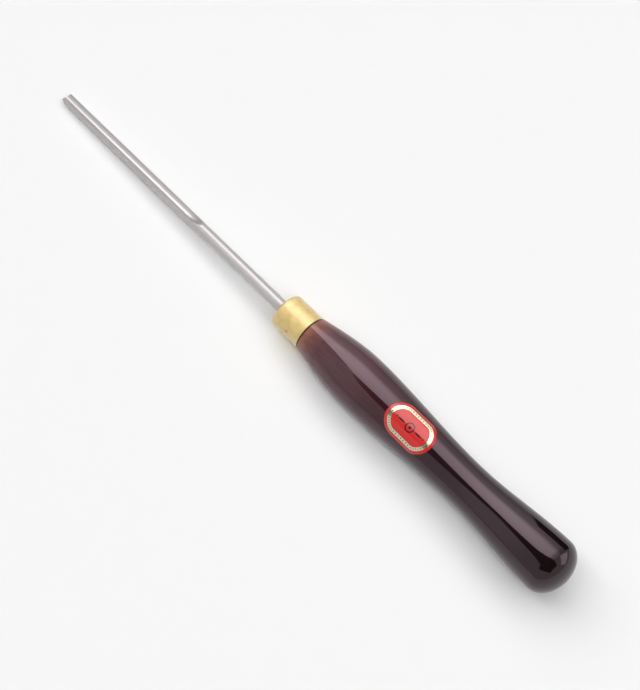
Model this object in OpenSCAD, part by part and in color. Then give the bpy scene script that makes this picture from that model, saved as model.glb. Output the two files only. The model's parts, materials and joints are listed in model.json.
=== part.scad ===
// Spindle gouge: a fluted round bar in a turned handle with a brass ferrule.
// The tool's axis is X. The edge points along +X, and the origin is on the axis at the ferrule's front.
// +Z is the side that lies uppermost, with the label on it.

/* [Blade] */
// Diameter of the round bar
bar_d = 6.35; // [5:0.05:12]
// Length of bar from the ferrule's front to the nose of the edge
blade_reach = 170.5; // [140:0.5:260]
// Length of bar from the ferrule's front to its buried end
tang_len = 57; // [35:0.5:90]
// Chamfer on the buried end of the bar
tang_chamfer = 0.8; // [0.2:0.1:1.5]
// Turn of the flute about the axis, from straight up
flute_turn = 19; // [-45:1:45]

/* [Flute] */
// Radius of the flute's round bottom
flute_r = 2.95; // [2.4:0.05:4]
// Depth of the flute below the top of the bar
flute_depth = 3.65; // [2:0.05:4]
// Plain round length between the ferrule and the end of the flute
shank_len = 62.5; // [30:0.5:100]
// Radius of the wheel that mills the flute, which sets its run-out
wheel_r = 20; // [12:1:60]

/* [Edge] */
// Angle of the bevel to the axis
bevel_angle = 35; // [25:1:45]
// How far the nose of the edge leads its two corners
nose_lead = 1; // [0:0.1:1.5]

/* [Ferrule] */
// Outer diameter of the ferrule
ferrule_d = 19.05; // [15:0.05:26]
// Length of the ferrule
ferrule_len = 18; // [12:0.5:30]
// Thickness of the brass
ferrule_wall = 0.9; // [0.6:0.05:1.5]
// Outside radius of the drawn shoulder
ferrule_shoulder = 1.6; // [0.3:0.1:3]
// Diameter of the punched dimple
dimple_d = 1.4; // [0.8:0.1:2.5]
// Depth of the punched dimple
dimple_depth = 0.5; // [0.2:0.05:0.55]
// Distance of the dimple from the ferrule's front
dimple_at = 10.3; // [5:0.1:11]
// Turn of the dimple about the axis, from straight up
dimple_turn = -67; // [-180:1:180]

/* [Handle] */
// How far the handle stands proud of the ferrule where they meet
neck_step = 0.25; // [0:0.05:2]
// Angle at which the neck flares from the ferrule
neck_flare = 11.5; // [0:0.5:25]
// Length from the ferrule to the fullest part of the belly
belly_at = 35.5; // [20:0.5:60]
// Diameter of the belly
belly_d = 28.8; // [24:0.1:38]
// Length from the belly to the waist
waist_from_belly = 71.5; // [50:0.5:100]
// Diameter of the waist
waist_d = 22; // [18:0.1:30]
// Length from the waist to the fullest part of the bulb
bulb_from_waist = 54.5; // [35:0.5:80]
// Diameter of the bulb at the end
bulb_d = 29.2; // [24:0.1:38]
// Length of the rounded end behind the bulb
dome_len = 11; // [6:0.5:20]
// Chamfer on the shoulder that the ferrule seats on
seam_chamfer = 0.5; // [0.2:0.05:1]

/* [Label] */
// Length of the label along the handle
label_len = 28; // [22:0.5:44]
// Width of the label, seen from above
label_w = 17; // [10:0.5:21]
// Thickness of the label
label_t = 0.15; // [0.1:0.05:0.4]
// Distance of the label's middle from the ferrule's front
label_at = 90.5; // [60:0.5:110]
// Turn of the label about the axis, from straight up
label_turn = -13; // [-45:1:45]

/* [Fits] */
// Gap all round between the bar and the handle's bore
bore_fit = 0.05; // [0.02:0.01:0.2]
// Gap all round between the bar and the hole in the ferrule
hole_fit = 0.1; // [0.05:0.05:0.5]
// Gap all round between the handle's spigot and the ferrule
spigot_fit = 0.05; // [0.02:0.01:0.2]
// Gap between the end of the spigot and the inside of the ferrule's front
spigot_gap = 0.2; // [0.1:0.05:1]
// Gap between the buried end of the bar and the end of the bore's wall
bore_gap = 0.5; // [0.1:0.1:5]
// Glue line between the label and the handle
label_fit = 0.02; // [0.01:0.01:0.1]

/* [Hidden] */
$fn = 96;
// Included angle of the drill that makes the handle's bore
drill_angle = 118;
// How far a cutting shape runs past what it cuts
run_past = 1;
// Steps along each curved stretch of the handle's outline
curve_steps = 12;

bar_r = bar_d / 2;
// Heights above the bar's axis of the flute's floor, its centre and its two rims
flute_floor = bar_r - flute_depth;
flute_axis = flute_floor + flute_r;
flute_rim = (bar_r ^ 2 + flute_axis ^ 2 - flute_r ^ 2) / (2 * flute_axis);
// Length over which the milling wheel lifts out of the bar
runout_len = sqrt(wheel_r ^ 2 - (wheel_r - flute_depth) ^ 2);
flute_start = shank_len + runout_len;
// The bevel is ground round an axis parallel to the bar's, at the height that gives the nose its lead
lead_drop = nose_lead * tan(bevel_angle) - flute_floor;
grind_axis = (bar_r ^ 2 - lead_drop ^ 2) / (2 * (flute_rim + lead_drop));
// Radius of the bevel's cone at the nose, and at a place behind it that is wider than the bar
nose_r = grind_axis - flute_floor;
cone_r = nose_r + bar_d;
cone_len = bar_d / tan(bevel_angle);

ferrule_r = ferrule_d / 2;
ferrule_bore_r = ferrule_r - ferrule_wall;
ferrule_corner = max(ferrule_shoulder - ferrule_wall, 0);
spigot_r = ferrule_bore_r - spigot_fit;
spigot_len = ferrule_len - ferrule_wall - spigot_gap;
bore_r = bar_r + bore_fit;
bore_len = tang_len + bore_gap;
drill_point = bore_r / tan(drill_angle / 2);

neck_r = ferrule_r + neck_step;
belly_r = belly_d / 2;
waist_r = waist_d / 2;
bulb_r = bulb_d / 2;
waist_at = belly_at + waist_from_belly;
bulb_at = waist_at + bulb_from_waist;
handle_len = bulb_at + dome_len;

// Radius at the share t of the way along a cubic that starts with a slope and ends level
function blend(t, r0, r1, slope, length) =
    r0 + (3 * t ^ 2 - 2 * t ^ 3) * (r1 - r0) + t * (1 - t) ^ 2 * slope * length;

// One stretch of the handle's outline, as points [radius, length behind the ferrule], without its last
function stretch(x0, r0, x1, r1, slope = 0) = [
    for (i = [0 : curve_steps - 1])
        let (t = i / curve_steps)
        [blend(t, r0, r1, slope, x1 - x0), x0 + t * (x1 - x0)]
];

// Rounded end of the handle, a quarter ellipse from the bulb to the axis, without its last point
function dome() = [
    for (i = [0 : curve_steps - 1])
        let (a = 90 * i / curve_steps)
        [bulb_r * cos(a), bulb_at + dome_len * sin(a)]
];

// The handle's curved outline from its seam with the ferrule to its end
outline = concat(
    stretch(seam_chamfer, neck_r, belly_at, belly_r, tan(neck_flare)),
    stretch(belly_at, belly_r, waist_at, waist_r),
    stretch(waist_at, waist_r, bulb_at, bulb_r),
    dome()
);

// Lays what stands along Z along the tool's axis, its top towards the edge
module lengthwise() {
    rotate([0, 90, 0]) children();
}

// Stands a shape on the shoulder that the ferrule seats on, its top towards the edge
module on_shoulder() {
    translate([-ferrule_len, 0, 0]) lengthwise() children();
}

// A round bar of the flute's section along the path of the milling wheel: straight, then lifting out
module flute_cut() {
    translate([flute_start, 0, flute_axis])
        lengthwise() cylinder(r = flute_r, h = blade_reach - flute_start + run_past);
    translate([flute_start, 0, flute_floor + wheel_r])
        rotate([90, 0, 0])
            rotate([0, 0, 180])
                rotate_extrude(angle = 90)
                    translate([wheel_r - flute_r, 0]) circle(r = flute_r);
}

// What grinding takes off round the end: all that lies outside the bevel's cone
module bevel_cut() {
    translate([blade_reach - cone_len, 0, grind_axis])
        lengthwise() difference() {
            cylinder(r = cone_r + run_past, h = cone_len + run_past);
            cylinder(r1 = cone_r, r2 = nose_r, h = cone_len);
        }
}

module bar() {
    translate([-tang_len, 0, 0]) lengthwise() {
        cylinder(r1 = bar_r - tang_chamfer, r2 = bar_r, h = tang_chamfer);
        translate([0, 0, tang_chamfer])
            cylinder(r = bar_r, h = tang_len - tang_chamfer + blade_reach);
    }
}

module blade() {
    color("silver") rotate([flute_turn, 0, 0]) difference() {
        bar();
        flute_cut();
        bevel_cut();
    }
}

// Half-section of a cap with a rounded front corner
module cap_section(r, length, corner) {
    square([r, length - corner]);
    square([r - corner, length]);
    translate([r - corner, length - corner]) intersection() {
        circle(r = corner);
        square(corner);
    }
}

// The dent of a pointed punch in the side of the ferrule
module dimple_cut() {
    rotate([dimple_turn, 0, 0])
        translate([-dimple_at, 0, ferrule_r - dimple_depth])
            cylinder(r1 = 0, r2 = dimple_d, h = 2 * dimple_depth);
}

module ferrule() {
    color("goldenrod") difference() {
        on_shoulder() rotate_extrude() cap_section(ferrule_r, ferrule_len, ferrule_shoulder);
        on_shoulder() translate([0, 0, -run_past])
            rotate_extrude()
                cap_section(ferrule_bore_r, ferrule_len - ferrule_wall + run_past, ferrule_corner);
        on_shoulder() cylinder(r = bar_r + hole_fit, h = ferrule_len + run_past);
        dimple_cut();
    }
}

// The turned body behind the shoulder, with its surface raised by lift
module turned_body(lift = 0) {
    on_shoulder() mirror([0, 0, 1]) rotate_extrude() polygon(concat(
        [[0, 0], [neck_r - seam_chamfer + lift, 0]],
        [for (p = outline) [p[0] + lift, p[1]]],
        [[0, handle_len]]
    ));
}

// The spigot that fills the ferrule, stepped in at its end to clear the ferrule's rounded corner
module spigot() {
    on_shoulder() {
        cylinder(r = spigot_r, h = spigot_len - ferrule_corner);
        cylinder(r = spigot_r - ferrule_corner, h = spigot_len);
    }
}

module bore_cut() {
    translate([-bore_len, 0, 0]) lengthwise() {
        cylinder(r = bore_r, h = bore_len);
        translate([0, 0, -drill_point]) cylinder(r1 = 0, r2 = bore_r, h = drill_point);
    }
}

module handle() {
    color("saddlebrown") difference() {
        union() {
            turned_body();
            spigot();
        }
        bore_cut();
    }
}

// Outline of the label: straight sides and half-round ends
module label_outline() {
    straight = label_len - label_w;
    square([straight, label_w], center = true);
    for (side = [-1, 1])
        translate([side * straight / 2, 0]) circle(d = label_w);
}

module label() {
    color("firebrick") rotate([label_turn, 0, 0]) intersection() {
        difference() {
            turned_body(label_fit + label_t);
            turned_body(label_fit);
        }
        translate([-label_at, 0, 0]) linear_extrude(belly_d) label_outline();
    }
}

blade();
ferrule();
handle();
label();
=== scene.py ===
"""Spindle gouge: the looks of the tool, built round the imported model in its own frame, in metres.

X runs along the tool's axis to the cutting edge, with its origin at the ferrule's front.
+Z is the label's side.
"""
import json
import math

import bmesh
import bpy
from mathutils import Matrix, Vector


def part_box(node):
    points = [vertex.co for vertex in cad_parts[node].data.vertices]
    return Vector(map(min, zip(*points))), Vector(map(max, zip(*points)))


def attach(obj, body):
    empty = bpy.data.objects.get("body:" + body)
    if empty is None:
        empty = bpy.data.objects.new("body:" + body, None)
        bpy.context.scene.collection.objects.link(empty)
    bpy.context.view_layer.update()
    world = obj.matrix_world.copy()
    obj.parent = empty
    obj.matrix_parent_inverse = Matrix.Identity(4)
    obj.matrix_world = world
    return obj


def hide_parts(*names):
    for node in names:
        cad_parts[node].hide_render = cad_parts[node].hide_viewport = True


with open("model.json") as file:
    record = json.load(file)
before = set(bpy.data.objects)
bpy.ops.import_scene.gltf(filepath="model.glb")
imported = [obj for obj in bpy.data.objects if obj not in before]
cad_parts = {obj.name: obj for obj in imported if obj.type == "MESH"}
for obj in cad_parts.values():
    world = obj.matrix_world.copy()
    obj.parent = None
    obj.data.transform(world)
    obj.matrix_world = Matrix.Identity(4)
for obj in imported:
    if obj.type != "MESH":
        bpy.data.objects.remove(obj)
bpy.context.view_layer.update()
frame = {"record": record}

MM = 0.001

# Sizes that the frame gives
mounts = {mount["name"]: mount for mount in frame["record"]["mounts"]}
BAR_R = mounts["shank"]["dims"]["r_mm"] * MM
SHANK = mounts["shank"]["dims"]["length_mm"] * MM
FERRULE_R = mounts["ferrule_seat"]["dims"]["r_mm"] * MM
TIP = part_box("blade")[1].x
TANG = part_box("blade")[0].x
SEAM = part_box("ferrule")[0].x
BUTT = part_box("handle")[0].x
LABEL_ENDS = (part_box("label")[0].x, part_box("label")[1].x)

# The blade's flute, edge and rims
FLUTE_R = 2.95 * MM
FLUTE_DEPTH = 3.65 * MM
FLUTE_TURN = 19
WHEEL_R = 20 * MM
BEVEL_ANGLE = 35
NOSE_LEAD = 1 * MM
RIM_ROUND = 0.16 * MM
TANG_CHAMFER = 0.8 * MM

# The ferrule
FERRULE_WALL = 0.9 * MM
SHOULDER_R = 1.6 * MM
FERRULE_EDGE = 0.25 * MM
HOLE_FIT = 0.1 * MM
HOLE_R = BAR_R + HOLE_FIT
DIMPLE_R = 0.75 * MM
DIMPLE_DEPTH = 0.45 * MM
DIMPLE_AT = -10.3 * MM
DIMPLE_TURN = -67

# The handle's outline, as lengths behind the seam and radii
NECK_STEP = 0.25 * MM
NECK_R = FERRULE_R + NECK_STEP
NECK_FLARE = 11.5
LIP = 0.5 * MM
GROOVE = 0.5 * MM
GROOVE_LIP = 0.3 * MM
BELLY_AT = 35.5 * MM
BELLY_R = 14.4 * MM
WAIST_AT = 107 * MM
WAIST_R = 11 * MM
BULB_AT = 161.5 * MM
BULB_R = 14.57 * MM

# The handle's spigot and bore
BORE_FIT = 0.05 * MM
SPIGOT_FIT = 0.05 * MM
SPIGOT_GAP = 0.2 * MM
SPIGOT_CHAMFER = 0.7 * MM
BORE_R = BAR_R + BORE_FIT
SPIGOT_R = FERRULE_R - FERRULE_WALL - SPIGOT_FIT

# The label
LABEL_W = 17 * MM
LABEL_TURN = -13
LABEL_LIFT = 0.02 * MM
LABEL_T = 0.15 * MM
LABEL_SOFT_EDGE = 0.06 * MM
LABEL_MARGIN = 1.5 * MM
LABEL_BAND = 2.0 * MM


# Meshes

# Points closer than this become one
WELD = 0.4e-6


def add_to_scene(name, data):
    """An object for a mesh or a camera, linked to the scene."""
    piece = bpy.data.objects.new(name, data)
    bpy.context.scene.collection.objects.link(piece)
    return piece


def new_object(name, mesh_builder, materials):
    """An object whose mesh a builder fills, riding on the tool's one body."""
    bm = bmesh.new()
    mesh_builder(bm)
    bmesh.ops.remove_doubles(bm, verts=bm.verts, dist=WELD)
    bmesh.ops.recalc_face_normals(bm, faces=bm.faces)
    for face in bm.faces:
        face.smooth = True
    mesh = bpy.data.meshes.new(name)
    bm.to_mesh(mesh)
    bm.free()
    for material in materials:
        mesh.materials.append(material)
    piece = add_to_scene(name, mesh)
    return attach(piece, "root")


def loft(bm, rows, material=0, closed=False):
    """Faces between rows of points that all have the same count, and a list of the rows' vertices."""
    made = [[bm.verts.new(point) for point in row] for row in rows]
    count = len(rows[0])
    for low, high in zip(made, made[1:]):
        for i in range(count if closed else count - 1):
            j = (i + 1) % count
            face = bm.faces.new((low[i], low[j], high[j], high[i]))
            face.material_index = material
    return made


def turn_about_axis(bm, degrees):
    """All that is built so far, turned about the tool's axis."""
    matrix = Matrix.Rotation(math.radians(degrees), 3, "X")
    bmesh.ops.rotate(bm, verts=bm.verts, cent=(0, 0, 0), matrix=matrix)


def ring(x, r, count):
    """Points round the tool's axis."""
    step = 2 * math.pi / count
    return [(x, r * math.sin(i * step), r * math.cos(i * step)) for i in range(count)]


def share(low, high, steps):
    """Evenly spread values from low to high, both included."""
    return [low + (high - low) * i / steps for i in range(steps + 1)]


def arc(x, r, radius, start, end, steps):
    """Points (x, r) along an arc in the plane of a turned outline, by angles from the x direction."""
    return [(x + radius * math.cos(a), r + radius * math.sin(a))
            for a in share(math.radians(start), math.radians(end), steps)]


# The blade's shape

FLUTE_FLOOR = BAR_R - FLUTE_DEPTH
FLUTE_AXIS = FLUTE_FLOOR + FLUTE_R
RUNOUT = math.sqrt(WHEEL_R ** 2 - (WHEEL_R - FLUTE_DEPTH) ** 2)
FLUTE_START = SHANK + RUNOUT
BEVEL_SLOPE = math.tan(math.radians(BEVEL_ANGLE))
RIM_Z = (BAR_R ** 2 + FLUTE_AXIS ** 2 - FLUTE_R ** 2) / (2 * FLUTE_AXIS)
LEAD_DROP = NOSE_LEAD * BEVEL_SLOPE - FLUTE_FLOOR
GRIND_AXIS = (BAR_R ** 2 - LEAD_DROP ** 2) / (2 * (RIM_Z + LEAD_DROP))
NOSE_R = GRIND_AXIS - FLUTE_FLOOR

# The search for the flute's rim: the widest angle round the flute's section, and the halvings
WIDEST_RIM = 0.6 * math.pi
RIM_HALVINGS = 48
# A rim's rounding is at most this share of half the flute's width there
RIM_SHARE = 0.4

# Faces across and along the blade's surfaces, and the length of the ground end's straight start
COLUMNS = 128
ROUND_STEPS = 4
PLAIN_ROWS = 24
RUNOUT_ROWS = 40
STRAIGHT_ROWS = 20
END_ROWS = 12
BEVEL_ROWS = 8
END_RUN = 3 * MM

# The blade's materials, by their places in its list
BAR, FLUTE, BEVEL = range(3)


def flute_point(angle, behind):
    """(y, z) on the flute's wall, by the angle round its section and the length behind the full depth."""
    reach = WHEEL_R - FLUTE_R + FLUTE_R * math.cos(angle)
    z = FLUTE_FLOOR + WHEEL_R - math.sqrt(reach ** 2 - behind ** 2)
    return FLUTE_R * math.sin(angle), z


def bar_point(angle):
    """(y, z) on the bar's round surface, by the angle from the top."""
    return BAR_R * math.sin(angle), BAR_R * math.cos(angle)


def rim_angle(behind):
    """The angle round the flute's section at which its wall meets the bar's surface."""
    low, high = 0.0, WIDEST_RIM
    for _ in range(RIM_HALVINGS):
        middle = (low + high) / 2
        if math.hypot(*flute_point(middle, behind)) < BAR_R:
            low = middle
        else:
            high = middle
    return low


def ground_columns():
    """For each column: its share of the flute's section, and the x of the bevel's heel and edge there."""
    rim = rim_angle(0)
    top = math.atan2(*flute_point(rim, 0))
    columns = []
    for angle in share(top, 2 * math.pi - top, COLUMNS):
        y, z = bar_point(angle)
        outer = math.hypot(y, z - GRIND_AXIS)
        down = (z - GRIND_AXIS) / outer
        drop = GRIND_AXIS - FLUTE_AXIS
        inner = math.sqrt((down * drop) ** 2 - drop ** 2 + FLUTE_R ** 2) - down * drop
        turn = math.atan2(inner * y / outer, FLUTE_AXIS - GRIND_AXIS - inner * down)
        heel, edge = (TIP - (r - NOSE_R) / BEVEL_SLOPE for r in (outer, inner))
        columns.append((turn / rim, heel, edge))
    return columns


GROUND = ground_columns()
CORNER = GROUND[0][2]
# The bevel's heel at its furthest from the nose
HEEL = min(heel for _, heel, _ in GROUND)


def section(x, rounding):
    """The blade's section at x, as (y, z).

    It holds the bar's side, a rim, the flute from that rim back, and the other rim.
    """
    behind = max(FLUTE_START - x, 0)
    rim = rim_angle(behind) if behind < RUNOUT else 0
    corner_y, corner_z = flute_point(rim, behind) if rim else (0, BAR_R)
    top = math.atan2(corner_y, corner_z)
    reach = min(rounding, RIM_SHARE * corner_y)
    off_bar = reach / BAR_R
    off_flute = reach / FLUTE_R
    side = [bar_point(a) for a in share(top + off_bar, 2 * math.pi - top - off_bar, COLUMNS)]
    flute = [flute_point(-turn * (rim - off_flute), behind) if rim else (0, BAR_R)
             for turn, _, _ in GROUND]

    def rounded(start, sign, end):
        """The points between a side and a wall, on a curve drawn to the sharp rim."""
        curve = []
        for t in share(0, 1, ROUND_STEPS)[1:-1]:
            pull = 2 * t * (1 - t)
            curve.append((start[0] * (1 - t) ** 2 + sign * corner_y * pull + end[0] * t ** 2,
                          start[1] * (1 - t) ** 2 + corner_z * pull + end[1] * t ** 2))
        return curve

    return side + rounded(side[-1], -1, flute[0]) + flute + rounded(flute[-1], 1, side[0])


# Where the flute starts in a section's points, and how many points a section has
FLUTE_FIRST = COLUMNS + ROUND_STEPS
AROUND = 2 * FLUTE_FIRST
# The section's bands, as (first point, last point, material): side, rim, flute, rim
BANDS = (
    (0, COLUMNS, BAR),
    (COLUMNS, FLUTE_FIRST, BAR),
    (FLUTE_FIRST, FLUTE_FIRST + COLUMNS, FLUTE),
    (FLUTE_FIRST + COLUMNS, AROUND, BAR),
)


def loft_bands(bm, rows):
    """The blade's surface along rows of its section."""
    for first, last, material in BANDS:
        band = [[row[i % AROUND] for i in range(first, last + 1)] for row in rows]
        loft(bm, band, material)


def end_row(start, t):
    """The section's points at the share t of the way from the straight part to the heel or the edge."""
    points = section(start, RIM_ROUND * (1 - t))
    rim = [CORNER] * (ROUND_STEPS - 1)
    heels = [heel for _, heel, _ in GROUND]
    edges = [edge for _, _, edge in reversed(GROUND)]
    ends = heels + rim + edges + rim
    return [(start + t * (x - start), y, z) for x, (y, z) in zip(ends, points)]


def build_blade(bm):
    """The bar from its buried end to the edge: plain, run-out, flute, and the ground end."""
    plain = share(TANG + TANG_CHAMFER, SHANK, PLAIN_ROWS)
    runout = [SHANK + RUNOUT * t * t for t in share(0, 1, RUNOUT_ROWS)][1:]
    end_start = HEEL - END_RUN
    straight = share(FLUTE_START, end_start, STRAIGHT_ROWS)[1:]
    rows = [[(x, y, z) for y, z in section(x, RIM_ROUND)] for x in plain + runout + straight]
    loft_bands(bm, rows)
    narrow = 1 - TANG_CHAMFER / BAR_R
    tang = [(TANG, y * narrow, z * narrow) for _, y, z in rows[0]]
    cap = loft(bm, [tang, rows[0]], BAR, closed=True)
    bm.faces.new(cap[0])

    # The side runs on to the heel, the bevel from the heel to the edge, and the flute back from the edge
    end_rows = [end_row(end_start, t) for t in share(0, 1, END_ROWS)]
    loft_bands(bm, end_rows)
    heel_row = end_rows[-1][:COLUMNS + 1]
    edge_row = end_rows[-1][FLUTE_FIRST:FLUTE_FIRST + COLUMNS + 1][::-1]
    bevel = [[Vector(a).lerp(Vector(b), t) for a, b in zip(heel_row, edge_row)]
             for t in share(0, 1, BEVEL_ROWS)]
    loft(bm, bevel, BEVEL)
    bmesh.ops.remove_doubles(bm, verts=bm.verts, dist=WELD)
    bmesh.ops.dissolve_degenerate(bm, edges=bm.edges, dist=WELD)
    for edge in bm.edges:
        kinds = {face.material_index for face in edge.link_faces}
        if BEVEL in kinds and len(kinds) > 1:
            edge.smooth = False
    turn_about_axis(bm, FLUTE_TURN)


# The turned pieces

# Faces round and along the ferrule
FERRULE_AROUND = 360
FERRULE_ROWS = 100
SHOULDER_STEPS = 16
EDGE_STEPS = 6
# How far below the ferrule's outside a point still counts as on it
SKIN = 0.01 * MM
# The dimple's form: how pointed its bottom is, and how sharp its rim
DIMPLE_POINT = 0.8
DIMPLE_RIM = 0.3

# Faces round and along the handle
HANDLE_AROUND = 192
BODY_ROWS = 320
DOME_STEPS = 48
LIP_STEPS = 8

# The ferrule's materials, by their places in its list
BRIGHT, DIMPLE_DARK = range(2)


def ferrule_outline():
    """The ferrule's section, round from the seam over its outside and back along its inside."""
    inner_r = FERRULE_R - FERRULE_WALL
    inner_corner = SHOULDER_R - FERRULE_WALL
    rear = SEAM + FERRULE_EDGE
    outline = [(SEAM, inner_r)]
    outline += arc(rear, FERRULE_R - FERRULE_EDGE, FERRULE_EDGE, 180, 90, EDGE_STEPS)
    outline += [(x, FERRULE_R) for x in share(rear, -SHOULDER_R, FERRULE_ROWS)[1:]]
    outline += arc(-SHOULDER_R, FERRULE_R - SHOULDER_R, SHOULDER_R, 90, 0, SHOULDER_STEPS)[1:]
    outline += arc(-FERRULE_EDGE, HOLE_R + FERRULE_EDGE, FERRULE_EDGE, 0, -90, EDGE_STEPS)
    outline += [(-FERRULE_WALL, HOLE_R)]
    corner_x = -FERRULE_WALL - inner_corner
    outline += arc(corner_x, inner_r - inner_corner, inner_corner, 0, 90, EDGE_STEPS)
    return outline


def build_ferrule(bm):
    """A drawn brass cap: rounded shoulder, hole for the bar, thin wall and a punched dimple in its side."""
    rows = [ring(x, r, FERRULE_AROUND) for x, r in ferrule_outline()]
    made = loft(bm, rows + rows[:1], BRIGHT, closed=True)
    centre = math.radians(-DIMPLE_TURN)
    for vert in (v for row in made for v in row):
        r = math.hypot(vert.co.y, vert.co.z)
        if r < FERRULE_R - SKIN:
            continue
        turn = math.atan2(vert.co.y, vert.co.z) - centre
        round_off = r * math.atan2(math.sin(turn), math.cos(turn))
        away = math.hypot(vert.co.x - DIMPLE_AT, round_off) / DIMPLE_R
        if away < 1:
            sunk = r - DIMPLE_DEPTH * (1 - away) ** DIMPLE_POINT * (1 - away * away) ** DIMPLE_RIM
            vert.co.y *= sunk / r
            vert.co.z *= sunk / r
            for face in vert.link_faces:
                # The dimple's faces take a darker brass colour
                face.material_index = DIMPLE_DARK


# The handle's outline at its lip, belly, waist and bulb: length behind the seam, radius, slope there
KNOTS = (
    (LIP, NECK_R, math.tan(math.radians(NECK_FLARE))),
    (BELLY_AT, BELLY_R, 0),
    (WAIST_AT, WAIST_R, 0),
    (BULB_AT, BULB_R, 0),
)


def blend(t, r0, r1, slope, length):
    """Radius at the share t of the way along a cubic that starts with a slope and ends level."""
    return r0 + (3 * t ** 2 - 2 * t ** 3) * (r1 - r0) + t * (1 - t) ** 2 * slope * length


def handle_radius(x):
    """The handle's radius at x, between its lip and the bulb."""
    behind = min(max(SEAM - x, LIP), BULB_AT)
    for (x0, r0, slope), (x1, r1, _) in zip(KNOTS, KNOTS[1:]):
        if behind <= x1:
            return blend((behind - x0) / (x1 - x0), r0, r1, slope, x1 - x0)


def handle_outline():
    """The handle's outline: bore, spigot, groove at the seam, rounded lip, body and rounded end."""
    bulb = SEAM - BULB_AT
    dome = bulb - BUTT
    spigot_end = -FERRULE_WALL - SPIGOT_GAP
    lip = SEAM - GROOVE - GROOVE_LIP
    outline = [(TANG, BORE_R), (spigot_end, BORE_R), (spigot_end, SPIGOT_R - SPIGOT_CHAMFER)]
    outline += [(spigot_end - SPIGOT_CHAMFER, SPIGOT_R), (SEAM - GROOVE, SPIGOT_R)]
    outline += arc(lip, handle_radius(lip) - GROOVE_LIP, GROOVE_LIP, 0, 90, LIP_STEPS)
    outline += [(x, handle_radius(x)) for x in share(lip, bulb, BODY_ROWS)[1:]]
    outline += [(bulb - dome * math.sin(a), BULB_R * math.cos(a))
                for a in share(0, math.pi / 2, DOME_STEPS)[1:-1]]
    return outline


def build_handle(bm):
    """The turned handle, closed at the bore's end. The pole of its rounded end is open."""
    made = loft(bm, [ring(x, r, HANDLE_AROUND) for x, r in handle_outline()], closed=True)
    bore_rim = made[0]
    bore_end = bm.verts.new((TANG, 0, 0))
    for a, b in zip(bore_rim, bore_rim[1:] + bore_rim[:1]):
        bm.faces.new((a, b, bore_end))
    # A loose point at the open pole, at the handle's full length
    bm.verts.new((BUTT, 0, 0))


# The label

# Points along the label's round ends and straight sides, and faces across its field
LABEL_END_STEPS = 24
LABEL_SIDE_STEPS = 16
LABEL_STRIPS = 24

# The label's materials, by their places in its list
RED, FOIL, MOTIF = range(3)


def label_outline():
    """The label's middle, and half of its outline as (x from the middle, width along the wood)."""
    middle = (LABEL_ENDS[0] + LABEL_ENDS[1]) / 2
    half_w = LABEL_W / 2
    straight = (LABEL_ENDS[1] - LABEL_ENDS[0]) / 2 - half_w
    seen = arc(straight, 0, half_w, 0, 90, LABEL_END_STEPS)
    seen += [(x, half_w) for x in share(straight, -straight, LABEL_SIDE_STEPS)[1:-1]]
    seen += arc(-straight, 0, half_w, 90, 180, LABEL_END_STEPS)
    points = []
    for x, y in seen:
        r = handle_radius(middle + x)
        points.append(Vector((x, r * math.asin(y / r))))
    return middle, points


def build_label(bm):
    """The label: rings that follow its outline inwards, then strips across its field, laid on the handle."""
    middle, half = label_outline()
    outline = half + [Vector((p.x, -p.y)) for p in reversed(half[1:-1])]
    around = len(outline)
    normals = []
    lengths = [0.0]
    for i in range(around):
        after = outline[(i + 1) % around]
        along = after - outline[i - 1]
        normals.append(Vector((along.y, -along.x)).normalized())
        lengths.append(lengths[-1] + (after - outline[i]).length / MM)
    flat_map = bm.loops.layers.uv.new("label_mm")
    border_map = bm.loops.layers.uv.new("border_mm")
    flat = {}
    inset_of = {}

    def vertex(point, lift, inset):
        """A point of the flat label laid on the handle at a height above the wood."""
        x = middle + point.x
        r = handle_radius(x)
        a = point.y / r
        vert = bm.verts.new((x, (r + lift) * math.sin(a), (r + lift) * math.cos(a)))
        flat[vert] = point / MM
        inset_of[vert] = inset / MM
        return vert

    def lay(inset, lift):
        """One ring of the label, drawn in from its outline."""
        return [vertex(point - normal * inset, lift, inset) for point, normal in zip(outline, normals)]

    def cover(verts, places, material):
        """A face with its places on the label's two maps."""
        face = bm.faces.new(verts)
        face.material_index = material
        for loop, place in zip(face.loops, places):
            loop[flat_map].uv = flat[loop.vert]
            loop[border_map].uv = (lengths[place], inset_of[loop.vert])

    top = LABEL_LIFT + LABEL_T
    inner = LABEL_MARGIN + LABEL_BAND
    rings = [
        lay(0, LABEL_LIFT),
        lay(0, top - LABEL_SOFT_EDGE),
        lay(LABEL_SOFT_EDGE, top),
        lay(LABEL_MARGIN, top),
        lay(inner, top),
    ]
    for low, high, material in zip(rings, rings[1:], (RED, RED, RED, FOIL)):
        for i in range(around):
            j = (i + 1) % around
            cover((low[i], low[j], high[j], high[i]), (i, i + 1, i + 1, i), material)

    # The field, from the end at which the inmost ring starts to its other end
    field = rings[-1]
    last = len(half) - 1
    strips = [field[:1]]
    for i in range(1, last):
        near, far = field[i], field[-i]
        start, end = flat[near] * MM, flat[far] * MM
        crossing = [vertex(start.lerp(end, t), top, inner) for t in share(0, 1, LABEL_STRIPS)[1:-1]]
        strips.append([near] + crossing + [far])
    strips.append([field[last]])
    for left, right in zip(strips, strips[1:]):
        for k in range(max(len(left), len(right)) - 1):
            left_side = left if len(left) == 1 else left[k:k + 2]
            right_side = right if len(right) == 1 else right[k:k + 2][::-1]
            cover(left_side + right_side, (0, 0, 0, 0), MOTIF)
    turn_about_axis(bm, LABEL_TURN)


# Materials

# The part of a noise's range that is used
NOISE_LOW = 0.3
NOISE_HIGH = 0.7
# Height of the fine relief
RELIEF = 0.02 * MM
# The colour mixer's sockets
MIX_FIRST, MIX_SECOND = 6, 7
MIX_RESULT = 2


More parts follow.
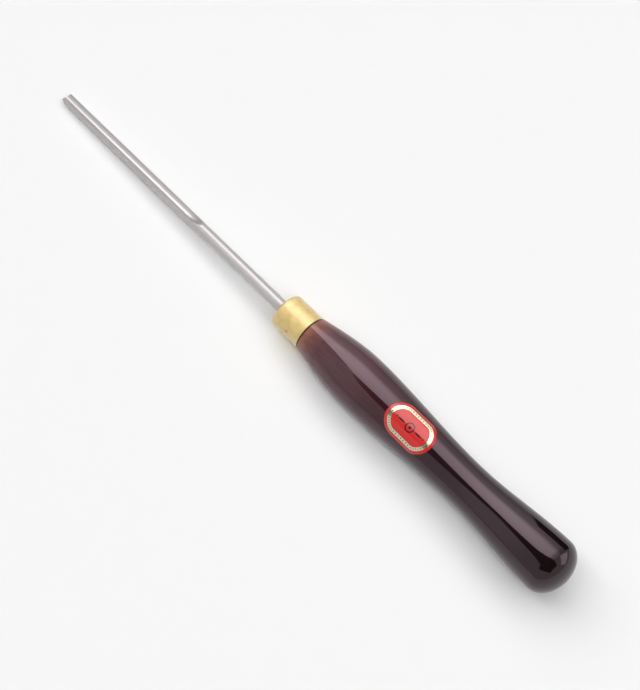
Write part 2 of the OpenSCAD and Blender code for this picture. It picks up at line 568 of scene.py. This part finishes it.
def new_material(name, **sockets):
    """A material, its node tree and its shader, with constant values set on the shader's sockets."""
    material = bpy.data.materials.new(name)
    material.use_nodes = True
    tree = material.node_tree
    shader = tree.nodes["Principled BSDF"]
    for socket, value in sockets.items():
        shader.inputs[socket.replace("_", " ")].default_value = value
    return material, tree, shader


def add(tree, kind, inputs=None, **settings):
    """A node with its settings, and its inputs set to values or linked to other nodes' outputs."""
    node = tree.nodes.new(kind)
    for name, value in settings.items():
        setattr(node, name, value)
    for key, value in (inputs or {}).items():
        if isinstance(value, bpy.types.NodeSocket):
            tree.links.new(value, node.inputs[key])
        else:
            node.inputs[key].default_value = value
    return node


def drive(tree, shader, **outputs):
    """The shader's sockets linked to other nodes' outputs."""
    for socket, output in outputs.items():
        tree.links.new(output, shader.inputs[socket.replace("_", " ")])


def stretched_noise(tree, scale, detail=4, roughness=0.6):
    """Noise on the object's own coordinates, with a scale along each axis."""
    place = add(tree, "ShaderNodeTexCoord")
    mapping = add(tree, "ShaderNodeMapping", {"Vector": place.outputs["Object"], "Scale": scale})
    settings = {"Scale": 1.0, "Detail": detail, "Roughness": roughness}
    noise = add(tree, "ShaderNodeTexNoise", {"Vector": mapping.outputs["Vector"], **settings})
    return noise.outputs["Fac"]


def ramp(tree, value, stops):
    """Colours along a value: (place, colour) pairs."""
    node = add(tree, "ShaderNodeValToRGB", {"Fac": value})
    elements = node.color_ramp.elements
    while len(elements) < len(stops):
        elements.new(0.5)
    for element, (place, colour) in zip(elements, stops):
        element.position = place
        element.color = (*colour, 1)
    return node.outputs["Color"]


def ranged(tree, value, low, high, to_low=0.0, to_high=1.0):
    """A value mapped from one range to another, held at the ends."""
    ends = {"From Min": low, "From Max": high, "To Min": to_low, "To Max": to_high}
    node = add(tree, "ShaderNodeMapRange", {"Value": value, **ends})
    return node.outputs["Result"]


def two_tone(tree, noise, dark, light):
    """A noise from a dark to a light colour."""
    return ramp(tree, noise, ((NOISE_LOW, dark), (NOISE_HIGH, light)))


def spread(tree, noise, low, high):
    """A noise from a low to a high value."""
    return ranged(tree, noise, NOISE_LOW, NOISE_HIGH, low, high)


def mixed_colour(tree, factor, first, second, **settings):
    """Two colours mixed by a factor."""
    inputs = {"Factor": factor, MIX_FIRST: first, MIX_SECOND: second}
    node = add(tree, "ShaderNodeMix", inputs, data_type="RGBA", **settings)
    return node.outputs[MIX_RESULT]


def add_bump(tree, shader, height, strength):
    """Fine relief from a value."""
    bump = add(tree, "ShaderNodeBump", {"Height": height, "Strength": strength, "Distance": RELIEF})
    drive(tree, shader, Normal=bump.outputs["Normal"])


# The steel's roughness where it is glossiest and dullest, as shares of its mean
STEEL_GLOSS, STEEL_DULL = 0.93, 1.07


def steel(name, scale, tint, metallic, roughness, lines):
    """Ground tool steel, dulled by fine lines that run one way."""
    material, tree, shader = new_material(name, Metallic=metallic)
    noise = stretched_noise(tree, scale)
    dark = tuple(c * (1 - lines) for c in tint)
    light = tuple(min(c * (1 + lines), 1) for c in tint)
    drive(tree, shader, Base_Color=two_tone(tree, noise, dark, light),
          Roughness=spread(tree, noise, roughness * STEEL_GLOSS, roughness * STEEL_DULL))
    add_bump(tree, shader, noise, strength=0.03)
    return material


BRASS_LINES = (9000, 60, 60)
BRASS_CLOUD = (220, 220, 220)


def brass(name, dark, light):
    """Drawn brass with faint turning lines round it, duller in patches where it is handled."""
    material, tree, shader = new_material(name, Metallic=0.3, Coat_Weight=1.0, Coat_Roughness=0.14,
                                          Coat_IOR=1.6)
    lines = stretched_noise(tree, BRASS_LINES)
    cloud = stretched_noise(tree, BRASS_CLOUD, detail=3)
    drive(tree, shader, Base_Color=two_tone(tree, cloud, dark, light),
          Roughness=spread(tree, cloud, low=0.50, high=0.60))
    add_bump(tree, shader, lines, strength=0.04)
    return material


# The wood's stained colours from the seam to the butt. The first two stops paint the groove at the seam
# near-black: partly dark lacquer in the joint, partly painted shade in the recess.
STAIN_AND_GROOVE_SHADE = (
    (0.0, (0.006, 0.003, 0.002)),
    (0.0042, (0.012, 0.005, 0.003)),
    (0.0075, (0.33, 0.13, 0.07)),
    (0.035, (0.19, 0.067, 0.05)),
    (0.07, (0.10, 0.038, 0.04)),
    (0.13, (0.076, 0.03, 0.034)),
    (0.20, (0.070, 0.024, 0.029)),
    (0.27, (0.048, 0.0145, 0.017)),
    (0.53, (0.020, 0.009, 0.0105)),
    (0.90, (0.0115, 0.006, 0.0068)),
    (1.0, (0.010, 0.005, 0.006)),
)
# What the grain does to the colour along the handle, from its dark lines to its light ones
GRAIN_SCALE = (40, 900, 900)
GRAIN_SHADES = ((0.3, (0.72, 0.66, 0.66)), (0.72, (1.12, 1.14, 1.14)))
LACQUER_WAVES = (60, 240, 240)
LACQUER_TINT = (1.0, 0.76, 0.86, 1)


def lacquered_wood():
    """Stained wood under gloss lacquer, red-brown at the neck and nearly black towards the butt."""
    material, tree, shader = new_material("lacquered_wood", IOR=1.6, Specular_Tint=LACQUER_TINT)
    place = add(tree, "ShaderNodeTexCoord")
    along = add(tree, "ShaderNodeSeparateXYZ", {"Vector": place.outputs["Object"]})
    # The colour along the handle, with partly painted shade in the groove at the seam
    stain_and_groove_shade = ramp(tree, ranged(tree, along.outputs["X"], SEAM, BUTT), STAIN_AND_GROOVE_SHADE)
    grain = stretched_noise(tree, GRAIN_SCALE, detail=5, roughness=0.65)
    shade = ramp(tree, grain, GRAIN_SHADES)
    # The lacquer lies in long shallow waves and is rubbed a little duller in patches
    waves = stretched_noise(tree, LACQUER_WAVES, detail=2, roughness=0.4)
    drive(tree, shader, Base_Color=mixed_colour(tree, 1.0, stain_and_groove_shade, shade, blend_type="MULTIPLY"),
          Roughness=ranged(tree, waves, 0.35, 0.7, to_low=0.05, to_high=0.075))
    add_bump(tree, shader, waves, strength=0.12)
    return material


# The label's print, with its measures in millimetres
PRINT_CLOUD = (900, 900, 900)
RED_DARK = (0.60, 0.012, 0.012)
RED_LIGHT = (0.68, 0.016, 0.014)
FOIL_CLOUD = (1500, 1500, 1500)
FOIL_DARK = (0.84, 0.74, 0.47)
FOIL_LIGHT = (0.92, 0.84, 0.60)
INK = (0.012, 0.008, 0.008, 1)
# The ornament's round and oval marks: place along the label, half length, half width
RING_OUTSIDE = (0, 2.5, 2.5)
RING_INSIDE = (0, 1.85, 1.85)
ORNAMENT_MARKS = ((0, 0.75, 0.75), (5.4, 2.2, 0.42), (8.4, 0.42, 0.42))
# The soft edge of a mark, from outside to inside
MARK_EDGE = (1.1, 0.9)
# The lines along the foil's edges, and the spacing, half width and half length of the strokes.
# A pair of values is a soft edge.
FOIL_LINE = (0.13, 0.09)
STROKE_SPACING = 0.8
STROKE_HALF_WIDTH = (0.24, 0.20)
STROKE_HALF_LENGTH = (0.40, 0.36)


def math_node(tree, operation, *values):
    """The result of a sum on values and other nodes' outputs."""
    return add(tree, "ShaderNodeMath", dict(enumerate(values)), operation=operation).outputs[0]


def map_parts(tree, uv_map):
    """The two coordinates of one of the label's maps, in millimetres."""
    place = add(tree, "ShaderNodeUVMap", uv_map=uv_map)
    parts = add(tree, "ShaderNodeSeparateXYZ", {"Vector": place.outputs["UV"]})
    return parts.outputs["X"], parts.outputs["Y"]


def ornament(tree):
    """A printer's ornament: a ring round a dot, with a swelled line and a dot on each side of it."""
    along, across = map_parts(tree, "label_mm")
    along = math_node(tree, "ABSOLUTE", along)

    def oval(middle, half_length, half_width):
        """1 inside an oval and 0 outside it."""
        u = math_node(tree, "DIVIDE", math_node(tree, "SUBTRACT", along, middle), half_length)
        v = math_node(tree, "DIVIDE", across, half_width)
        far = math_node(tree, "MULTIPLY_ADD", v, v, math_node(tree, "MULTIPLY", u, u))
        return ranged(tree, far, *MARK_EDGE)

    cover = math_node(tree, "SUBTRACT", oval(*RING_OUTSIDE), oval(*RING_INSIDE))
    for mark in ORNAMENT_MARKS:
        cover = math_node(tree, "MAXIMUM", cover, oval(*mark))
    return cover


def printed(name, motif):
    """Gloss red print on paper, with or without the dark ornament in its middle."""
    material, tree, shader = new_material(name, Coat_Weight=1.0, Coat_Roughness=0.06, Coat_IOR=1.5,
                                          Specular_IOR_Level=0.2)
    cloud = stretched_noise(tree, PRINT_CLOUD, detail=2)
    colour = two_tone(tree, cloud, RED_DARK, RED_LIGHT)
    if motif:
        colour = mixed_colour(tree, ornament(tree), colour, INK)
    drive(tree, shader, Base_Color=colour, Roughness=spread(tree, cloud, low=0.36, high=0.46))
    add_bump(tree, shader, cloud, strength=0.05)
    return material


def foil():
    """Pale gold foil with dark lines along its edges and a row of short strokes between them."""
    material, tree, shader = new_material("label_foil", Metallic=0.85)
    cloud = stretched_noise(tree, FOIL_CLOUD, detail=2)
    gold = two_tone(tree, cloud, FOIL_DARK, FOIL_LIGHT)
    along, inset = map_parts(tree, "border_mm")
    half_band = LABEL_BAND / 2 / MM
    centre = (LABEL_MARGIN + LABEL_BAND / 2) / MM
    off_centre = math_node(tree, "ABSOLUTE", math_node(tree, "SUBTRACT", inset, centre))
    edge_lines = ranged(tree, off_centre, *(half_band - width for width in FOIL_LINE))
    stroke = ranged(tree, math_node(tree, "PINGPONG", along, STROKE_SPACING), *STROKE_HALF_WIDTH)
    row = ranged(tree, off_centre, *STROKE_HALF_LENGTH)
    cover = math_node(tree, "MAXIMUM", edge_lines, math_node(tree, "MULTIPLY", stroke, row))
    drive(tree, shader, Base_Color=mixed_colour(tree, cover, gold, INK),
          Roughness=spread(tree, cloud, low=0.16, high=0.24))
    add_bump(tree, shader, cloud, strength=0.05)
    return material


# The object's pieces

BAR_GREY = (0.53, 0.505, 0.502)
GROUND_GREY = (0.52, 0.495, 0.491)
ALONG_BAR = (60, 3000, 3000)
ALONG_FLUTE = (40, 3000, 3000)
GRIT = (9000, 9000, 9000)
bar_steel = steel("bar_steel", ALONG_BAR, BAR_GREY, metallic=0.28, roughness=0.33, lines=0.025)
flute_steel = steel("flute_steel", ALONG_FLUTE, GROUND_GREY, metallic=0.48, roughness=0.31, lines=0.025)
bevel_steel = steel("bevel_steel", GRIT, GROUND_GREY, metallic=0.36, roughness=0.3, lines=0.05)
bright_brass = brass("brass", dark=(0.65, 0.455, 0.14), light=(0.78, 0.59, 0.235))
# A darker brass colour for the faces of the punched dimple
dimple_dark_brass = brass("dimple_dark_brass", dark=(0.48, 0.34, 0.11), light=(0.58, 0.43, 0.15))
label_print = [printed("label_red", False), foil(), printed("label_motif", True)]

blade = new_object("blade_ground", build_blade, [bar_steel, flute_steel, bevel_steel])
ferrule = new_object("ferrule_brass", build_ferrule, [bright_brass, dimple_dark_brass])
handle = new_object("handle_turned", build_handle, [lacquered_wood()])
label = new_object("label_print", build_label, label_print)
for piece, node, slot in ((blade, "blade", "tool_steel"), (ferrule, "ferrule", "brass"),
                          (handle, "handle", "lacquered_wood"), (label, "label", "label_paper")):
    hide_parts(node)


# The floor that the tool lies on, touching the bevel's heel and the handle's belly

PITCH_STEPS = 400
HANDLE_PLACES = share(SEAM - LIP, SEAM - BULB_AT, PITCH_STEPS)
PITCH = max(math.atan2(handle_radius(x) - BAR_R, HEEL - x) for x in HANDLE_PLACES)
ALONG = Vector((math.cos(PITCH), 0, math.sin(PITCH)))
UP = Vector((-math.sin(PITCH), 0, math.cos(PITCH)))
ACROSS = Vector((0, 1, 0))
FLOOR_POINT = Vector((HEEL, 0, -BAR_R))
FLOOR_SIZE = 12.0
FLOOR_WHITE = 0.94


def quad(name, corners, material):
    """A flat stage piece between its corners."""
    mesh = bpy.data.meshes.new(name)
    mesh.from_pydata([tuple(c) for c in corners], [], [tuple(range(len(corners)))])
    mesh.materials.append(material)
    piece = add_to_scene(name, mesh)
    return piece


def matt(name, grey):
    """Plain matt paper or card."""
    colour = (grey, grey, grey, 1)
    material, _, _ = new_material(name, Base_Color=colour, Roughness=0.9, Specular_IOR_Level=0.0)
    return material


quad("floor", [FLOOR_POINT + ALONG * FLOOR_SIZE * a + ACROSS * FLOOR_SIZE * b
               for a, b in ((-1, -1), (1, -1), (1, 1), (-1, 1))], matt("floor", FLOOR_WHITE))


# The camera, by the angles at which the photographed tool lies in the picture

TOOL_TURN = math.radians(47.297)
CAMERA_ELEVATION = math.radians(66.94)
CAMERA_DISTANCE = 0.918
AIM_RIGHT = 16.85 * MM
AIM_UP = -17.25 * MM
LENS = 97.93

RIGHT = -math.cos(TOOL_TURN) * ALONG - math.sin(TOOL_TURN) * ACROSS
AWAY = math.sin(TOOL_TURN) * ALONG - math.cos(TOOL_TURN) * ACROSS
LOOK = math.cos(CAMERA_ELEVATION) * AWAY - math.sin(CAMERA_ELEVATION) * UP
PICTURE_UP = math.sin(CAMERA_ELEVATION) * AWAY + math.cos(CAMERA_ELEVATION) * UP

camera_data = bpy.data.cameras.new("camera")
camera_data.lens = LENS
camera = add_to_scene("camera", camera_data)
camera.matrix_world = Matrix((RIGHT, PICTURE_UP, -LOOK)).transposed().to_4x4()
camera.location = AIM_RIGHT * RIGHT + AIM_UP * PICTURE_UP - CAMERA_DISTANCE * LOOK
bpy.context.scene.camera = camera


# The studio. A direction is given by degrees across the tool, from straight up towards its far side, and by
# degrees of lean along it, towards the edge.

LIGHT_CENTRE = Vector((-80 * MM, 0, 0))
NEAR = 0.8
FAR = 5.0
SHEET_ROWS = 32
SHEET_COLUMNS = 48


def bearing(across, lean):
    """A direction from the tool."""
    a, b = math.radians(across), math.radians(lean)
    return math.cos(b) * (math.cos(a) * UP - math.sin(a) * ACROSS) + math.sin(b) * ALONG


def glow(name):
    """A material that shines with the strength stored on the mesh."""
    material = bpy.data.materials.new(name)
    material.use_nodes = True
    tree = material.node_tree
    tree.nodes.remove(tree.nodes["Principled BSDF"])
    strength = add(tree, "ShaderNodeAttribute", attribute_name="strength")
    emission = add(tree, "ShaderNodeEmission", {"Strength": strength.outputs["Fac"]})
    tree.links.new(emission.outputs["Emission"], tree.nodes["Material Output"].inputs["Surface"])
    return material


def sheet(name, leans, edges, level, distance=NEAR, mirrored=True):
    """A curved sheet of light between two edges across the tool, seen in reflections, or else only lighting.

    edges gives the two edges' degrees across at a lean, and level the strength in a direction.
    """
    points = []
    for lean in share(*leans, SHEET_COLUMNS):
        points += [(across, lean) for across in share(*edges(lean), SHEET_ROWS)]
    step = SHEET_ROWS + 1
    starts = [i * step + j for i in range(SHEET_COLUMNS) for j in range(SHEET_ROWS)]
    faces = [(k, k + 1, k + step + 1, k + step) for k in starts]
    mesh = bpy.data.meshes.new(name)
    mesh.from_pydata([LIGHT_CENTRE + distance * bearing(*point) for point in points], [], faces)
    values = mesh.attributes.new("strength", "FLOAT", "POINT").data
    for value, point in zip(values, points):
        value.value = level(*point)
    mesh.materials.append(glow(name))
    piece = add_to_scene(name, mesh)
    piece.visible_camera = False
    piece.visible_glossy = mirrored
    piece.visible_diffuse = not mirrored
    piece.visible_shadow = not mirrored


def eased(value, low, high):
    """A smooth step from 0 to 1 between two values."""
    t = min(max((value - low) / (high - low), 0), 1)
    return t * t * (3 - 2 * t)


def change(value, amount, low, high):
    """An amount that comes in smoothly between two values."""
    return amount * eased(value, low, high)


def between(value, knots):
    """A value read off straight lines between (place, value) knots."""
    for (x0, y0), (x1, y1) in zip(knots, knots[1:]):
        if value <= x1:
            break
    return y0 + (y1 - y0) * min(max((value - x0) / (x1 - x0), 0), 1)


def even_edges(low, high):
    """Edges that stay the same at every lean."""
    return lambda lean: (low, high)


def even_level(level):
    """A strength that is the same in every direction."""
    return lambda across, lean: level


# The softbox that the lacquer and the metal mirror, with a dimmer border on its far side
KEY_LIGHT = 3.7
KEY_LEANS = (-28, 52)
# Its two edges, as (lean, degrees across)
KEY_NEAR = ((-28, 9), (6, 1), (11, -8), (20, -10.5), (26, -9.5), (37, 0), (44, 9), (52, 26))
KEY_FAR = ((-28, 52), (8, 80), (44, 80), (52, 34))
# Its loss of strength towards the near edge: the share, the degrees across where it starts, and its spread
KEY_NEAR_LOSS = 0.18
KEY_NEAR_FROM = 22
KEY_NEAR_SPREAD = 26
# Its losses towards the far edge: the share, and the degrees across between which it comes in
KEY_BORDER_LOSS = (0.65, 30, 54)
KEY_FAR_LOSS = (0.14, 54, 80)
# Its share of strength at the butt, and the gain towards the blade: the share, and the two leans
KEY_BEHIND = 0.27
KEY_GAIN = (0.68, -24, 26)

# The dark gap beside the softbox, which widens behind the tool: its near edge, as (lean, degrees across)
GAP_LEANS = (-60, 24)
GAP_NEAR = ((-45, -45), (-1, -54), (7, -36), (10, -32), (16, -28.5), (21, -24.5), (24, -10))

# The paler side of the room beyond the gap, brightest beside the tool's middle
SIDE_LIGHT = 0.6
SIDE_LEANS = (-60, 60)
SIDE_EDGE = -80
SIDE_RISE = (0.2, 10, 18)
SIDE_FALL = (0.3, 33, 50)

# A light behind the butt, a dark card at its far side, and the dark beyond the edge of the blade
END_LIGHT = 1.9
END_LEANS = (-66, -31)
END_EDGES = (38, 76)
CARD_LEANS = (-34, 2.5)
CARD_EDGES = (64, 90)
CARD_DISTANCE = 0.3
DARK_END_LIGHT = 0.05
DARK_END_LEANS = (62, 89)
DARK_END_EDGES = (-88, 88)
DARK_END_DISTANCE = 0.7
UNLIT = 0.0


def key_edges(lean):
    """The softbox's near and far edge."""
    return between(lean, KEY_NEAR), between(lean, KEY_FAR)


def key_level(across, lean):
    """The softbox's strength: flat in its middle, dimmer at its sides and behind the tool."""
    near_side = 1 - KEY_NEAR_LOSS * (max(KEY_NEAR_FROM - across, 0) / KEY_NEAR_SPREAD) ** 2
    far_side = 1 - change(across, *KEY_BORDER_LOSS) - change(across, *KEY_FAR_LOSS)
    return KEY_LIGHT * near_side * far_side * (KEY_BEHIND + change(lean, *KEY_GAIN))


def gap_edges(lean):
    """The gap's near edge, and the softbox beyond it."""
    return between(lean, GAP_NEAR), between(lean, KEY_NEAR)


def side_edges(lean):
    """The room's side, up to the gap or the softbox."""
    return SIDE_EDGE, min(gap_edges(lean))


def side_level(across, lean):
    """The strength of the room's side."""
    return SIDE_LIGHT + change(lean, *SIDE_RISE) - change(lean, *SIDE_FALL)


sheet("key_softbox", KEY_LEANS, key_edges, key_level)
sheet("dark_gap", GAP_LEANS, gap_edges, even_level(UNLIT))
sheet("room_side", SIDE_LEANS, side_edges, side_level)
sheet("end_light", END_LEANS, even_edges(*END_EDGES), even_level(END_LIGHT))
sheet("dark_card", CARD_LEANS, even_edges(*CARD_EDGES), even_level(UNLIT), CARD_DISTANCE)
sheet("dark_end", DARK_END_LEANS, even_edges(*DARK_END_EDGES), even_level(DARK_END_LIGHT), DARK_END_DISTANCE)

# A dark card along the blade's far side, which the steel mirrors as dark lines: its distance from the axis,
# its two ends, and the degrees across between which it is seen from the axis
FLAG_OFF = 60 * MM
FLAG_ENDS = (28 * MM, 220 * MM)
FLAG_ANGLES = (50, 86)
FLAG_BLACK = 0.02


def flag_corner(end, edge):
    """A corner of the card, by its end and its edge."""
    return Vector((FLAG_ENDS[end], -FLAG_OFF, FLAG_OFF / math.tan(math.radians(FLAG_ANGLES[edge]))))


flag_corners = [flag_corner(*corner) for corner in ((0, 0), (1, 0), (1, 1), (0, 1))]
flag = quad("blade_flag", flag_corners, matt("flag_card", FLAG_BLACK))
flag.visible_camera = False
flag.visible_diffuse = False
flag.visible_shadow = False

# The light that falls on the tool and the floor: a lamp just to the near side of overhead, and a wide softbox
# on the far side, as (degrees across, level)
FALL_LIGHT = 1.41
FALL_LEANS = (-55, 55)
FALL_LEVELS = ((-44, 0.15), (-24, 0.4), (-17, 2.9), (-11, 2.9), (-4, 0.8), (30, 1.35), (46, 0.1))
FALL_EDGES = (FALL_LEVELS[0][0], FALL_LEVELS[-1][0])


def fall_level(across, lean):
    """The falling light's strength."""
    return FALL_LIGHT * between(across, FALL_LEVELS)


sheet("overhead_light", FALL_LEANS, even_edges(*FALL_EDGES), fall_level, FAR, mirrored=False)

# The room that the tool mirrors all round
ROOM_LIGHT = 0.62
world = bpy.data.worlds.new("studio")
world.use_nodes = True
bpy.context.scene.world = world
background = world.node_tree.nodes["Background"]
background.inputs["Color"].default_value = (1, 1, 1, 1)
background.inputs["Strength"].default_value = ROOM_LIGHT
world.cycles_visibility.diffuse = False

bpy.context.scene.view_settings.view_transform = "Standard"
